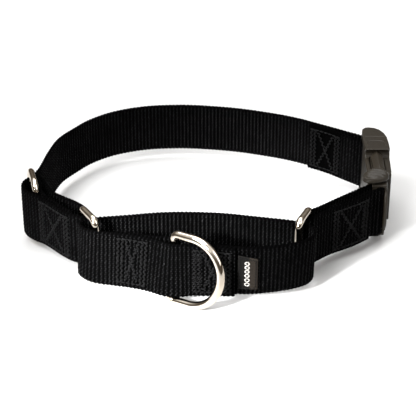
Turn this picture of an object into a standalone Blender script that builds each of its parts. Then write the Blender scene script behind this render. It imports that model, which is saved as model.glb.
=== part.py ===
"""A martingale dog collar: webbing neck strap, sliding control loop, D-ring and side-release buckle.

Plan positions are in millimetres. x runs to the right and y to the back of the collar, from the middle
of the neck opening; heights are measured from the middle of the webbing's width.
"""

import math

import bmesh
import bpy
from mathutils import Matrix, Vector

MM = 0.001

# Driving dimensions, in millimetres and degrees
WEBBING_WIDTH = 25.4
WEBBING_THICKNESS = 1.6
CLEARANCE = 0.3            # between pieces that touch
HALF_HEIGHT = 17.0         # from the middle of the webbing to the top or bottom of the hardware
RING_WIRE = 3.5
D_RING_WIRE = 3.8
SLIDE_WIRE = 3.2
D_RING_DEPTH = 28.6
D_RING_HALF_HEIGHT = 17.3
D_RING_LEAN = 10.0
D_RING_SWING = 31.5
D_RING_TILT = 4.0
RING_CORNER = 3.0
THREAD = 0.6
LABEL_WIDTH = 9.6
LABEL_HEIGHT = 17.2
LABEL_THICKNESS = 0.9
MIDDLE_X = 0.1           # the middle of the collar's box, which is the origin
MIDDLE_Y = 9.3

# Bars that the webbing is folded round: plan position of each one's middle
SLIDE_FAR_BAR = (-83.9, 11.5)
SLIDE_NEAR_BAR = (-79.6, -5.9)
LEFT_RING_STRAP_BAR = (-56.9, -26.1)
LEFT_RING_LOOP_BAR = (-49.9, -38.2)
RIGHT_RING_STRAP_BAR = (45.6, -26.9)
RIGHT_RING_LOOP_BAR = (40.0, -40.0)
D_RING_BAR = (-15.8, -51.6)
SOCKET_BAR = (79.4, 44.4)
PLUG_BAR = (78.4, -0.9)
HINGE_OF_LOOP = (-81.2, 12.0)
LABEL_MIDDLE = (17.4, -56.5)
LABEL_LEAN = 3.0
STITCH_REACH = 10.5        # how far a row of stitches goes up and down from the middle

# The buckle: x is across it, y along it
BUCKLE_BAR_RADIUS = 1.8
PRONG_PIVOT = (78.6, -1.5, 15.0)
SOCKET_MOUTH = 10.0        # where the socket's plates end and the plug's begin
BAND_START = 26.0
CAP_START = 36.5
INNER_WALL_X = 77.4        # the tunnel is between these two walls
OUTER_WALL_X = 84.3
PLATE_X = (82.4, 84.0)     # the plug's outer plate
TUNNEL_HALF_HEIGHT = 12.4
POCKET_HALF_HEIGHT = 13.1  # room for the webbing round a bar
EAR_HALF_HEIGHT = 14.3
EAR_Y = (-2.6, 2.0)        # the plug's ears, which hold its bar
ARM_X = (77.8, 82.0)
PAD_START = 15.0
TONGUE_HALF_HEIGHT = 3.0
D_RING_CORNER = 2.4

WEBBING_RADIUS = WEBBING_THICKNESS / 2
HALF_WIDTH = WEBBING_WIDTH / 2


def at(x, y, z=0.0):
    """A plan position and height in millimetres as a point in metres, from the origin on the floor."""
    return Vector(((x - MIDDLE_X) * MM, (y - MIDDLE_Y) * MM, (z + HALF_HEIGHT) * MM))


def arc(centre, radius, start, end, steps, lean=0.0):
    """Points round a bar, from one direction to another in degrees, with a lean each."""
    points = []
    for i in range(steps + 1):
        angle = math.radians(start + (end - start) * i / steps)
        points.append((centre[0] + radius * math.cos(angle), centre[1] + radius * math.sin(angle), lean))
    return points


def fold_radius(bar_radius):
    """The radius of the webbing's middle where it is folded round a bar."""
    return bar_radius + CLEARANCE + WEBBING_RADIUS


def smooth(points, step=1.5):
    """A Catmull-Rom curve through the points, resampled about every step millimetres."""
    points = [Vector(p) for p in points]
    ends = [2 * points[0] - points[1], *points, 2 * points[-1] - points[-2]]
    out = []
    for a, b, c, d in zip(ends, ends[1:], ends[2:], ends[3:]):
        pieces = max(1, round((c - b).xy.length / step))
        for i in range(pieces):
            t = i / pieces
            out.append(0.5 * (2 * b + (c - a) * t + (2 * a - 5 * b + 4 * c - d) * t * t
                              + (3 * b - a - 3 * c + d) * t * t * t))
    return [*out, points[-1]]


def beside(points, distance):
    """The points moved to the right of the way they run."""
    moved = []
    for before, here, after in zip([points[0], *points], points, [*points[1:], points[-1]]):
        along = Vector((after[0] - before[0], after[1] - before[1])).normalized()
        moved.append((here[0] + along.y * distance, here[1] - along.x * distance, here[2]))
    return moved


# The webbing's routes: plan position and lean. A positive lean tips the top edge to the right of the route.
def neck_strap_route():
    around = [(-81.3, 12.8), (-79.9, 17.4), (-78.7, 24.4), (-77.0, 34.0), (-73.5, 46.8), (-66.6, 58.4),
              (-59.2, 68.0), (-47.5, 77.0), (-31.2, 82.8), (-14.5, 84.4), (2.0, 83.0), (18.4, 79.4),
              (34.6, 74.0), (46.7, 68.5), (58.3, 61.2), (68.6, 54.6)]
    back = [(72.0, 46.9), (67.0, 51.4), (60.3, 57.4), (51.0, 63.6)]
    bar = arc(SOCKET_BAR, fold_radius(BUCKLE_BAR_RADIUS), 58, -129, 10)
    return [*[(x, y, 0) for x, y in around], *bar, *[(x, y, 0) for x, y in back]]


def adjuster_loop_route():
    inner = [(-80.9, 11.3), (-77.4, 6.0), (-75.4, 1.0), (-71.4, -6.4), (-68.1, -9.8), (-64.1, -12.9),
             (-60.2, -15.9), (-56.6, -19.6), (-54.6, -22.6)]
    bar = arc(LEFT_RING_STRAP_BAR, fold_radius(RING_WIRE / 2), 8, -134, 8)
    outer = [(-60.7, -27.4), (-63.6, -25.4), (-67.7, -21.3), (-71.8, -16.5), (-76.1, -11.8), (-80.9, -8.4),
             (-84.2, -5.2), (-86.0, -1.8), (-86.5, 1.6), (-85.7, 5.0), (-83.5, 7.2), (-80.8, 6.6),
             (-78.6, 3.4)]
    sewn = [(-77.9, -2.0), (-76.2, -6.8), (-74.2, -11.0), (-70.4, -15.2), (-66.3, -20.0), (-62.3, -24.0),
            (-61.2, -24.9)]
    return [(*p, 0) for p in inner] + bar + [(*p, 0) for p in outer] + [(*p, 0) for p in sewn]


def buckle_strap_route():
    outer = [(75.0, -7.6, -1), (68.1, -13.4, -1), (61.5, -17.9, -1), (56.1, -21.5, -1), (50.3, -26.3, 0)]
    ring = arc(RIGHT_RING_STRAP_BAR, fold_radius(RING_WIRE / 2), -50, -230, 10)
    inner = [(48.8, -21.3, 0), (52.6, -18.1, 1), (60.2, -11.7, 1), (67.4, -5.6, 1), (72.0, -2.1, 0)]
    bar = arc(PLUG_BAR, fold_radius(BUCKLE_BAR_RADIUS), 125, -55, 10)
    sewn = [(77.0, -4.6, -1), (73.8, -6.2, -1), (70.2, -9.2, -1), (66.9, -11.9, -1), (60.4, -16.4, -1),
            (55.0, -20.1, -1)]
    return outer + ring + inner + bar + sewn


def loop_front():
    """The control loop's front layer, from its cut end to the left, with its bulge over the D-ring's bar."""
    return [(11.8, -56.4, -2), (4.0, -55.6, 1), (-4.0, -54.7, 4), (-8.5, -54.5, 6), (-12.0, -54.9, 8),
            (-15.8, -54.9, 10), (-19.2, -53.8, 11), (-22.5, -51.9, 11), (-27.0, -49.6, 11),
            (-34.0, -47.1, 11), (-41.5, -45.3, 11)]


def control_loop_route():
    left = [(-48.4, -44.0, 9), (-52.9, -42.0, 7), (-56.4, -38.7, 5), (-57.6, -35.1, 3), (-56.7, -32.4, 2),
            (-54.0, -30.7, 0), (-50.0, -30.0, 0)]
    back = [(-37.7, -28.3, 0), (-23.4, -25.9, 0), (-9.0, -25.3, 0), (5.4, -26.2, 0), (19.7, -28.9, 0),
            (33.9, -32.0, 0), (40.5, -34.0, 0)]
    right = [(44.5, -36.2, 0), (46.8, -39.6, -1), (46.5, -43.6, -2), (43.8, -47.3, -3),
             (38.4, -50.6, -4), (30.0, -53.4, -4), (20.5, -54.8, -3)]
    inside = [(11.9, -54.5, -2), (4.0, -53.7, 1), (-4.0, -52.7, 4), (-8.5, -51.2, 6),
              (-12.0, -49.5, 8), (-15.8, -48.4, 10), (-19.4, -48.2, 11), (-23.0, -48.2, 11),
              (-27.4, -47.4, 11), (-34.4, -45.2, 11), (-41.8, -43.4, 11)]
    return loop_front() + left + back + right + inside


# Building blocks
def collection(name):
    made = bpy.data.collections.new(name)
    bpy.context.scene.collection.children.link(made)
    return made


def material(name, colour, roughness, metallic=0.0):
    made = bpy.data.materials.new(name)
    made.use_nodes = True
    surface = made.node_tree.nodes["Principled BSDF"]
    surface.inputs["Base Color"].default_value = (*colour, 1)
    surface.inputs["Roughness"].default_value = roughness
    surface.inputs["Metallic"].default_value = metallic
    return made


def pivot(name, place, parent=None, lean=0.0, tilt=0.0):
    """An empty on a joint's axis, which leans to the back and tilts to the right by so many degrees."""
    empty = bpy.data.objects.new(name, None)
    empty.empty_display_size = 0.005
    PARTS.objects.link(empty)
    empty.location = place
    empty.rotation_euler = (math.radians(-lean), math.radians(tilt), 0)
    bpy.context.view_layer.update()
    if parent:
        hang(empty, parent)
    return empty


def hang(piece, parent):
    """Parents a piece and leaves it where it is."""
    bpy.context.view_layer.update()
    piece.parent = parent
    piece.matrix_parent_inverse = parent.matrix_world.inverted()


def add(name, data, finish, parent, place=(0, 0, 0)):
    piece = bpy.data.objects.new(name, data)
    PARTS.objects.link(piece)
    piece.location = place
    piece.data.materials.append(finish)
    hang(piece, parent)
    return piece


def poly_curve(name, points, cyclic=False, flat=False):
    """A curve of straight pieces through points in metres, each with a tilt in degrees."""
    curve = bpy.data.curves.new(name, "CURVE")
    curve.dimensions = "2D" if flat else "3D"
    line = curve.splines.new("POLY")
    line.points.add(len(points) - 1)
    for spot, (where, tilt) in zip(line.points, points):
        spot.co = (*where, 1)
        spot.tilt = math.radians(tilt)
    line.use_cyclic_u = cyclic
    return curve


def webbing(name, route, finish, parent):
    """A strip of webbing on edge along a route."""
    points = [(at(x, y), lean) for x, y, lean in smooth(route)]
    curve = poly_curve(name, points)
    curve.twist_mode = "Z_UP"
    curve.extrude = HALF_WIDTH * MM
    piece = add(name, curve, finish, parent)
    thick = piece.modifiers.new("Thickness", "SOLIDIFY")
    thick.thickness = WEBBING_THICKNESS * MM
    thick.offset = 0
    thick.use_even_offset = True
    return piece


def wire(name, points, diameter, finish, parent, cyclic=True, resolution=2):
    """A round wire through points in metres."""
    curve = poly_curve(name, [(p, 0) for p in points], cyclic)
    curve.bevel_depth = diameter / 2 * MM
    curve.bevel_resolution = resolution
    curve.use_fill_caps = not cyclic
    return add(name, curve, finish, parent)


def ring_outline(half_width, half_height, corner, steps=5):
    """A rectangle with round corners as (across, up) pairs, from the bottom right corner round."""
    pairs = []
    for quarter, (sx, sz) in enumerate([(1, -1), (1, 1), (-1, 1), (-1, -1)]):
        for i in range(steps + 1):
            angle = math.radians(-90 + 90 * quarter + 90 * i / steps)
            pairs.append((sx * (half_width - corner) + corner * math.cos(angle),
                          sz * (half_height - corner) + corner * math.sin(angle)))
    return pairs


def upright_ring(name, bar_a, bar_b, diameter, corner, finish, parent):
    """A wire ring on edge whose two upright sides are at two plan positions."""
    a, b = Vector(bar_a), Vector(bar_b)
    middle, across = (a + b) / 2, (b - a).normalized()
    pairs = ring_outline((b - a).length / 2, HALF_HEIGHT - diameter / 2, corner)
    points = [at(*(middle + across * u), v) for u, v in pairs]
    return wire(name, points, diameter, finish, parent)


def prism(name, outline, low, high):
    """An outline in plan, in millimetres, drawn out between two heights: a mesh with its caps joined."""
    curve = poly_curve(name, [((x * MM, y * MM, 0), 0) for x, y in outline], cyclic=True, flat=True)
    curve.fill_mode = "BOTH"
    curve.extrude = (high - low) / 2 * MM
    rough = bpy.data.objects.new(name, curve)
    bpy.context.scene.collection.objects.link(rough)
    solid = bpy.data.meshes.new_from_object(rough.evaluated_get(bpy.context.evaluated_depsgraph_get()))
    bpy.data.objects.remove(rough)
    edit = bmesh.new()
    edit.from_mesh(solid)
    bmesh.ops.remove_doubles(edit, verts=edit.verts, dist=1e-6)
    bmesh.ops.recalc_face_normals(edit, faces=edit.faces)
    bmesh.ops.translate(edit, verts=edit.verts, vec=at(0, 0, (low + high) / 2))
    edit.to_mesh(solid)
    edit.free()
    return solid


def upright_prism(name, outline, left, right):
    """An outline of (y, height) drawn out between two x positions."""
    solid = prism(name, outline, 0, right - left)
    edit = bmesh.new()
    edit.from_mesh(solid)
    floor = at(0, 0, 0)
    for vertex in edit.verts:
        flat = (vertex.co - floor) / MM
        vertex.co = at(left + flat.z, flat.x, flat.y)
    bmesh.ops.recalc_face_normals(edit, faces=edit.faces)
    edit.to_mesh(solid)
    edit.free()
    return solid


def box(name, x, y, z):
    """A box between two values on each axis."""
    return prism(name, [(x[0], y[0]), (x[1], y[0]), (x[1], y[1]), (x[0], y[1])], *z)


def combine(piece, operation, data):
    """Cuts a shape from a piece, or joins one to it, with a hidden guide object."""
    guide = bpy.data.objects.new(data.name, data)
    GUIDES.objects.link(guide)
    guide.hide_render = True
    guide.display_type = "WIRE"
    step = piece.modifiers.new(data.name, "BOOLEAN")
    step.operation = operation
    step.object = guide


def round_edges(piece, width, segments=2):
    bevel = piece.modifiers.new("Round edges", "BEVEL")
    bevel.width = width * MM
    bevel.segments = segments
    bevel.limit_method = "ANGLE"
    bevel.angle_limit = math.radians(35)


# The pieces
def make_buckle_socket(parent):
    outline = [(75.4, SOCKET_MOUTH), (86.5, SOCKET_MOUTH), (87.0, 16.0), (87.3, 23.0), (87.5, 30.0),
               (87.5, 36.0), (87.2, 40.6), (86.2, 44.8), (84.4, 48.0), (82.0, 50.0), (79.6, 50.6),
               (77.2, 50.3), (75.8, 48.6), (75.4, 45.0)]
    socket = add("buckle_socket", prism("socket", outline, -HALF_HEIGHT, HALF_HEIGHT), PLASTIC, parent)
    round_edges(socket, 1.6)
    rim = TUNNEL_HALF_HEIGHT
    arch = [(BAND_START + y, z) for y, z, _ in arc((0, rim + 2.2), 2.2, -70, 70, 4)]
    for side in (1, -1):
        window = [(0, rim), (BAND_START, rim), *arch, (BAND_START, 20), (0, 20)]
        combine(socket, "DIFFERENCE", upright_prism(
            f"socket_window_{side}", [(y, side * z) for y, z in window], 70, 92))
    tunnel = [(0, -rim), (BAND_START, -rim), (CAP_START, -rim - 1.8), (CAP_START, rim + 1.8),
              (BAND_START, rim), (0, rim)]
    combine(socket, "DIFFERENCE", upright_prism("socket_tunnel", tunnel, INNER_WALL_X, OUTER_WALL_X))
    pocket = [(70, 38.2), (83.6, 38.2), (84.0, 41.5), (83.7, 45.0), (82.4, 47.6), (79.0, 52.0), (70, 55)]
    combine(socket, "DIFFERENCE", prism("socket_pocket", pocket, -POCKET_HALF_HEIGHT, POCKET_HALF_HEIGHT))
    combine(socket, "UNION", upright_bar("socket_bar", SOCKET_BAR, POCKET_HALF_HEIGHT + 0.9))
    return socket


def upright_bar(name, place, half_length):
    edit = bmesh.new()
    bmesh.ops.create_cone(edit, cap_ends=True, segments=16, radius1=BUCKLE_BAR_RADIUS * MM,
                          radius2=BUCKLE_BAR_RADIUS * MM, depth=2 * half_length * MM)
    bmesh.ops.translate(edit, verts=edit.verts, vec=at(*place))
    data = bpy.data.meshes.new(name)
    edit.to_mesh(data)
    edit.free()
    return data


def make_buckle_plug(parent):
    near_end = [(1.5, TUNNEL_HALF_HEIGHT), (-1.5, 11.8), (-4.2, 9.8), (-5.8, 6.5), (-6.2, 2.0)]
    upper = [(SOCKET_MOUTH - CLEARANCE, TUNNEL_HALF_HEIGHT), *near_end]
    side = upper + [(y, -z) for y, z in reversed(upper)]
    plug = add("buckle_plug", upright_prism("plug", side, *PLATE_X), PLASTIC, parent)
    round_edges(plug, 0.7)
    into_plate = PLATE_X[0] + 0.6
    for sign in (1, -1):
        ear_z = sorted((sign * POCKET_HALF_HEIGHT, sign * EAR_HALF_HEIGHT))
        root_z = sorted((sign * 11, sign * EAR_HALF_HEIGHT))
        combine(plug, "UNION", box(f"plug_ear_{sign}", (PLUG_BAR[0] - 2, into_plate), EAR_Y, ear_z))
        combine(plug, "UNION", box(f"plug_ear_root_{sign}", (PLATE_X[0], PLATE_X[0] + 1.0), EAR_Y, root_z))
    combine(plug, "UNION", upright_bar("plug_bar", PLUG_BAR, POCKET_HALF_HEIGHT + 0.6))
    tongue_z = (-TONGUE_HALF_HEIGHT, TONGUE_HALF_HEIGHT)
    combine(plug, "UNION", box("plug_web", (80.0, into_plate), (5.2, 9.2), tongue_z))
    combine(plug, "UNION", box("plug_tongue", (79.3, 82.6), (5.2, 31.5), tongue_z))
    return plug


def make_prong(name, side, parent):
    """A spring arm with its outer pad: side is 1 at the top and -1 at the bottom."""
    arm = [(0.5, 15.4), (3.2, 15.0), (7.0, 12.9), (12.0, 9.4), (31.0, 9.4), (32.0, 10.6), (31.8, 13.2),
           (26.0, 11.9), (14.0, 12.3), (9.0, 15.6), (4.0, 16.0)]
    prong = add(name, upright_prism(f"{name}_arm", [(y, side * z) for y, z in arm], *ARM_X), PLASTIC,
                parent)
    pad = [(71.8, -0.6), (73.6, -2.6), (77.5, -2.6), (82.0, -1.0), (84.1, 1.8), (83.6, 5.2), (81.4, 8.2),
           (78.0, 8.4), (75.0, 6.6), (72.6, 3.0)]
    low, high = sorted((side * PAD_START, side * HALF_HEIGHT))
    combine(prong, "UNION", prism(f"{name}_pad", pad, low, high))
    return prong


def make_d_ring(parent):
    """A wire bent to a D, its straight bar between the two front layers of the control loop."""
    half = D_RING_HALF_HEIGHT - D_RING_WIRE / 2
    depth = D_RING_DEPTH - D_RING_WIRE
    corner = D_RING_CORNER
    top_corner = [(x, z) for x, z, _ in arc((corner, half - corner), corner, 180, 120, 2)]
    bow = [(x, z) for x, z, _ in arc((depth - half, 0), half, 90, -90, 18)]
    outline = [*top_corner, *bow, *[(x, -z) for x, z in reversed(top_corner)]]
    turn = (Matrix.Rotation(math.radians(D_RING_TILT), 3, "Y") @ Matrix.Rotation(math.radians(-D_RING_LEAN), 3, "X")
            @ Matrix.Rotation(math.radians(-D_RING_SWING), 3, "Z"))
    points = []
    for out, up in outline:
        x, y, z = turn @ Vector((out, 0, up))
        points.append(at(D_RING_BAR[0] + x, D_RING_BAR[1] + y, z))
    return wire("d_ring", points, D_RING_WIRE, NICKEL, parent)


def stitching(name, layer, side, start, end, rows, parent):
    """One thread up and down over a patch of webbing between two x positions.

    It lies on the right of the layer's route where side is 1, and on the left where side is -1.
    """
    face = WEBBING_RADIUS + CLEARANCE + THREAD / 2
    middle = [tuple(p) for p in smooth(layer, 0.5)]
    track = beside(middle, side * face)
    first, last = (min(range(len(track)), key=lambda i: abs(track[i][0] - x)) for x in (start, end))
    points = []
    for row in range(rows):
        i = round(first + (last - first) * row / (rows - 1))
        outward = Vector(track[i][:2]) - Vector(middle[i][:2])
        right = side * outward.normalized()
        tip = math.radians(track[i][2])
        for up in ((-STITCH_REACH, STITCH_REACH) if row % 2 == 0 else (STITCH_REACH, -STITCH_REACH)):
            spot = Vector(track[i][:2]) + right * math.sin(tip) * up
            points.append(at(*spot, up * math.cos(tip)))
    return wire(name, points, THREAD, THREAD_BLACK, parent, cyclic=False, resolution=0)


def label_point(across, up, out):
    """A place on the label: across it, up its height, and out from its middle, in millimetres."""
    tip = math.radians(LABEL_LEAN)
    x, y = LABEL_MIDDLE
    return at(x + across, y - out * math.cos(tip) - up * math.sin(tip),
              up * math.cos(tip) - out * math.sin(tip))


def make_label(parent):
    """A woven tag sewn over the cut end of the loop's front layer."""
    half = LABEL_WIDTH / 2
    curve = poly_curve("label", [(label_point(x, 0, 0), -LABEL_LEAN) for x in (half, -half)])
    curve.twist_mode = "Z_UP"
    curve.extrude = LABEL_HEIGHT / 2 * MM
    piece = add("label", curve, LABEL, parent)
    thick = piece.modifiers.new("Thickness", "SOLIDIFY")
    thick.thickness = LABEL_THICKNESS * MM
    thick.offset = 0
    out = LABEL_THICKNESS / 2 + CLEARANCE + THREAD / 2
    x, z = half - 1.2, LABEL_HEIGHT / 2 - 1.2
    corners = [label_point(sx * x, sz * z, out) for sx, sz in ((1, 1), (-1, 1), (-1, -1), (1, -1))]
    wire("label_stitch", corners, THREAD, THREAD_BLACK, parent, resolution=0)


for leftover in list(bpy.data.objects):
    bpy.data.objects.remove(leftover)

PARTS = collection("martingale_collar")
GUIDES = collection("martingale_collar_guides")
NYLON = material("black nylon webbing", (0.012, 0.012, 0.013), 0.75)
THREAD_BLACK = material("black thread", (0.01, 0.01, 0.01), 0.7)
NICKEL = material("nickel plated steel", (0.80, 0.75, 0.68), 0.2, 1.0)
PLASTIC = material("dark grey plastic", (0.045, 0.040, 0.035), 0.5)
LABEL = material("woven label", (0.02, 0.017, 0.015), 0.7)

neck = pivot("neck", at(*SOCKET_BAR))
cinch = pivot("cinch", at(*HINGE_OF_LOOP), neck)
left_ring_turn = pivot("left_ring_turn", at(*LEFT_RING_STRAP_BAR), cinch)
loop_turn = pivot("loop_turn", at(*LEFT_RING_LOOP_BAR), left_ring_turn)
d_ring_swing = pivot("d_ring_swing", at(*D_RING_BAR), loop_turn, D_RING_LEAN, D_RING_TILT)
buckle_release = pivot("buckle_release", at(*PLUG_BAR), neck)
buckle_strap_turn = pivot("buckle_strap_turn", at(*PLUG_BAR), buckle_release)
right_ring_turn = pivot("right_ring_turn", at(*RIGHT_RING_STRAP_BAR), buckle_strap_turn)

slide_middle = tuple((a + b) / 2 for a, b in zip(SLIDE_FAR_BAR, SLIDE_NEAR_BAR))

webbing("neck_strap", neck_strap_route(), NYLON, neck)
webbing("adjuster_loop", adjuster_loop_route(), NYLON, cinch)
webbing("control_loop", control_loop_route(), NYLON, loop_turn)
webbing("buckle_strap", buckle_strap_route(), NYLON, buckle_strap_turn)

upright_ring("slide_frame", SLIDE_FAR_BAR, SLIDE_NEAR_BAR, SLIDE_WIRE, 5.0, NICKEL, cinch)
slide_inside = HALF_HEIGHT - SLIDE_WIRE - CLEARANCE
wire("slide_centre_bar", [at(*slide_middle, -slide_inside), at(*slide_middle, slide_inside)], SLIDE_WIRE,
     NICKEL, cinch, cyclic=False)
upright_ring("ring_left", LEFT_RING_STRAP_BAR, LEFT_RING_LOOP_BAR, RING_WIRE, RING_CORNER, NICKEL,
             left_ring_turn)
upright_ring("ring_right", RIGHT_RING_STRAP_BAR, RIGHT_RING_LOOP_BAR, RING_WIRE, RING_CORNER, NICKEL,
             right_ring_turn)
make_d_ring(d_ring_swing)

make_buckle_socket(neck)
make_buckle_plug(buckle_release)
for prong_name, prong_side in (("prong_top", 1), ("prong_bottom", -1)):
    x, y, z = PRONG_PIVOT
    make_prong(prong_name, prong_side, pivot(f"{prong_name}_squeeze", at(x, y, prong_side * z),
                                             buckle_release))

patches = (
    ("neck_buckle_stitch", neck_strap_route()[-4:], -1, 66.0, 52.0, 6, neck),
    ("adjuster_stitch", adjuster_loop_route()[18:30], -1, -62.5, -78.0, 7, cinch),
    ("buckle_strap_stitch", buckle_strap_route()[:5], -1, 73.5, 56.5, 8, buckle_strap_turn),
    ("loop_stitch_right", loop_front(), -1, 9.0, -6.5, 7, loop_turn),
    ("loop_stitch_left", loop_front(), -1, -27.0, -40.5, 6, loop_turn),
)
for patch in patches:
    stitching(*patch)
make_label(loop_turn)
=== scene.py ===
"""The looks of the martingale collar: ribbed webbing, stitches, nickel wires, buckle and woven tag.

Lengths are in millimetres in the plan of part.py: x to the right, y to the back, and z up from the
middle of the webbing's width. at() turns a place in it into metres in the row frame.
"""

import math

import bmesh
import bpy
import numpy as np
from mathutils import Matrix, Vector


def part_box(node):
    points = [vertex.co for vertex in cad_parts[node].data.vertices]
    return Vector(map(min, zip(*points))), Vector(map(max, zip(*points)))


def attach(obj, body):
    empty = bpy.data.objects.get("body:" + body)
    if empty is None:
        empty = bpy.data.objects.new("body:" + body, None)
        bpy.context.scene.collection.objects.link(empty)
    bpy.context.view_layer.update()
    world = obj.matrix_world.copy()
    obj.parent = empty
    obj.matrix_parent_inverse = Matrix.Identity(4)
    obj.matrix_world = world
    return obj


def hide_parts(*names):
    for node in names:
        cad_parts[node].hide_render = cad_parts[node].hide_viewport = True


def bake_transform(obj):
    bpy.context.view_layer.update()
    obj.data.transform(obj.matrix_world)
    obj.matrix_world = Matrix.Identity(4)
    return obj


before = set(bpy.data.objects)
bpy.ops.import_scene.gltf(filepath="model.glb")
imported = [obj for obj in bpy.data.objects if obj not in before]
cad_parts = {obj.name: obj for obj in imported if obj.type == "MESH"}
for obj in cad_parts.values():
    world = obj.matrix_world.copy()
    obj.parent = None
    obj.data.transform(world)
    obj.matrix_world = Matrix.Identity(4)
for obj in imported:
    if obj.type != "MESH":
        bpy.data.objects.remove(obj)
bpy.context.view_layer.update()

MM = 0.001
HALF_HEIGHT = 17.0              # from the floor to the middle of the webbing's width
MIDDLE_X, MIDDLE_Y = 0.1, 9.3   # the row frame's origin in the plan

# Webbing
WIDTH = 25.4
RIB = 1.85                      # from one rib to the next
BEADS = 27                      # yarns side by side across the width
STEPS_A_RIB = 5
STEPS_A_BEAD = 2
CORE = 0.34                     # half the thickness in the grooves
RELIEF = 0.56                   # how far a rib stands above the grooves
STAGGER = 0.11                  # how far neighbouring yarns are out of step, in ribs
BEAD_DEPTH = 0.38               # the share of the relief that is lost between yarns
RIB_POWER, BEAD_POWER = 1.5, 0.8
UNEVENNESS = 0.05               # the spread of the relief from rib to rib
HIGHEST = 1.15                  # the most that unevenness makes of a relief of 1
SELVEDGE_BUMP, SELVEDGE_INSET = 0.50, 0.30
EDGE_ROUNDING = 1.1             # how far in from an edge the thickness is full
DENT_SHARE = 0.45               # how much of the relief is lost where the webbing is pressed
DENT_EDGE = 0.7                 # how gradually a pressed stretch begins and ends
CLEARANCE = 0.3                 # between a bar and the webbing folded round it
WEBBING_RADIUS = 0.8            # half the webbing's thickness in part.py

# Wires
RING_WIRE = 3.5
RING_CORNER = 3.0
SLIDE_WIRE = 3.2
SLIDE_CORNER = 5.0
D_RING_WIRE = 3.8
D_RING_DEPTH = 28.6
D_RING_HALF_HEIGHT = 17.3
D_RING_CORNER = 2.4
D_RING_SWING = 31.5             # degrees out from the webbing
D_RING_LEAN = 10.0              # degrees back
D_RING_TILT = 4.0               # degrees to the right
BUCKLE_BAR_RADIUS = 1.8

# Upright bars in the plan
SLIDE_FAR_BAR = (-83.9, 11.5)
SLIDE_NEAR_BAR = (-79.6, -5.9)
LEFT_RING_STRAP_BAR = (-56.9, -26.1)
LEFT_RING_LOOP_BAR = (-49.9, -38.2)
RIGHT_RING_STRAP_BAR = (45.6, -26.9)
RIGHT_RING_LOOP_BAR = (40.0, -40.0)
D_RING_BAR = (-15.8, -51.6)
SOCKET_BAR = (79.4, 44.4)
PLUG_BAR = (78.4, -0.9)

# Stitches
THREAD_SIDES = 8
STITCH_STEPS = 8
STITCH_GAP = 0.05               # the share of a stitch's length left free at each end
STITCH_SINK = 0.12              # how deep its ends go into the cloth
FACE = 0.84                     # from the middle of a strip to the stitches' cloth face
TACK_REACH = 10.2               # from the middle of a strip to the edge of a box of stitches
TACK_OUTER, TACK_INNER = 0.8, 2.7   # from a box's end to its two bar tacks
CROSS_INSET = 4.4               # from a box's end to its crossed diagonals

# The tag
LABEL_MIDDLE = (17.4, -56.5)
LABEL_LEAN = 3.0
LABEL_WIDTH, LABEL_HEIGHT, LABEL_THICK = 8.8, 18.0, 0.8
LABEL_SEAM = 0.9                # from its edge to its stitches
LABEL_FACE = 0.46               # from its middle to the stitches' cloth face

# The buckle
PAD_BASE = 15.0                 # height of the prongs' broad faces
PLASTIC_VOXEL = 0.32
PLASTIC_PASSES = 7
PAD_RISE, PAD_DOME = 0.6, 2.0   # the thumb pad's wall, and its dome above that
PAD_RIDGE = 0.28
PAD_RIDGE_PITCH = 2.4
PAD_FALL_START = 78.0           # the dome falls away to the left of this plan x
RIM_SINK = 0.45                 # how far a rim's middle lies under the buckle's broad face


def at(x, y, z=0.0):
    """A plan position and height in millimetres as a point in metres in the row frame."""
    return Vector(((x - MIDDLE_X) * MM, (y - MIDDLE_Y) * MM, (z + HALF_HEIGHT) * MM))


# ---- lines and routes ---------------------------------------------------------------------------
def arc(centre, radius, start, end, steps, lean=0.0):
    """Points (x, y, lean) round a centre, between two angles in degrees."""
    points = []
    for i in range(steps + 1):
        angle = math.radians(start + (end - start) * i / steps)
        points.append((centre[0] + radius * math.cos(angle),
                       centre[1] + radius * math.sin(angle), lean))
    return points


def fold_radius(bar_radius):
    """From a bar's middle to the middle of the webbing folded round it."""
    return bar_radius + CLEARANCE + WEBBING_RADIUS


def plan_run(points):
    """The length in plan up to each point of a route."""
    return np.concatenate([[0], np.cumsum(np.hypot(*np.diff(points[:, :2], axis=0).T))])


def run_of(points):
    """The length up to each point of a line."""
    return np.concatenate([[0], np.cumsum(np.linalg.norm(np.diff(points, axis=0), axis=1))])


def smooth(points, step):
    """A Catmull-Rom curve through (x, y, lean) points, resampled evenly along its plan length."""
    points = np.array(points, float)
    ends = np.vstack([2 * points[0] - points[1], points, 2 * points[-1] - points[-2]])
    fine = []
    for a, b, c, d in zip(ends, ends[1:], ends[2:], ends[3:]):
        t = np.linspace(0, 1, 24, endpoint=False)[:, None]
        fine.append(0.5 * (2 * b + (c - a) * t + (2 * a - 5 * b + 4 * c - d) * t ** 2
                           + (3 * b - a - 3 * c + d) * t ** 3))
    fine = np.vstack([*fine, points[-1:]])
    run = plan_run(fine)
    even = np.linspace(0, run[-1], max(2, round(run[-1] / step) + 1))
    return np.stack([np.interp(even, run, fine[:, k]) for k in range(3)], 1)


def even_loop(pairs, step):
    """A closed outline resampled evenly."""
    pairs = np.array([*pairs, pairs[0]], float)
    run = run_of(pairs)
    even = np.linspace(0, run[-1], round(run[-1] / step), endpoint=False)
    return np.stack([np.interp(even, run, pairs[:, k]) for k in range(pairs.shape[1])], 1)


def upright(points):
    """Plan points as (x, y, lean) points without a lean."""
    return [(x, y, 0) for x, y in points]


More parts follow.
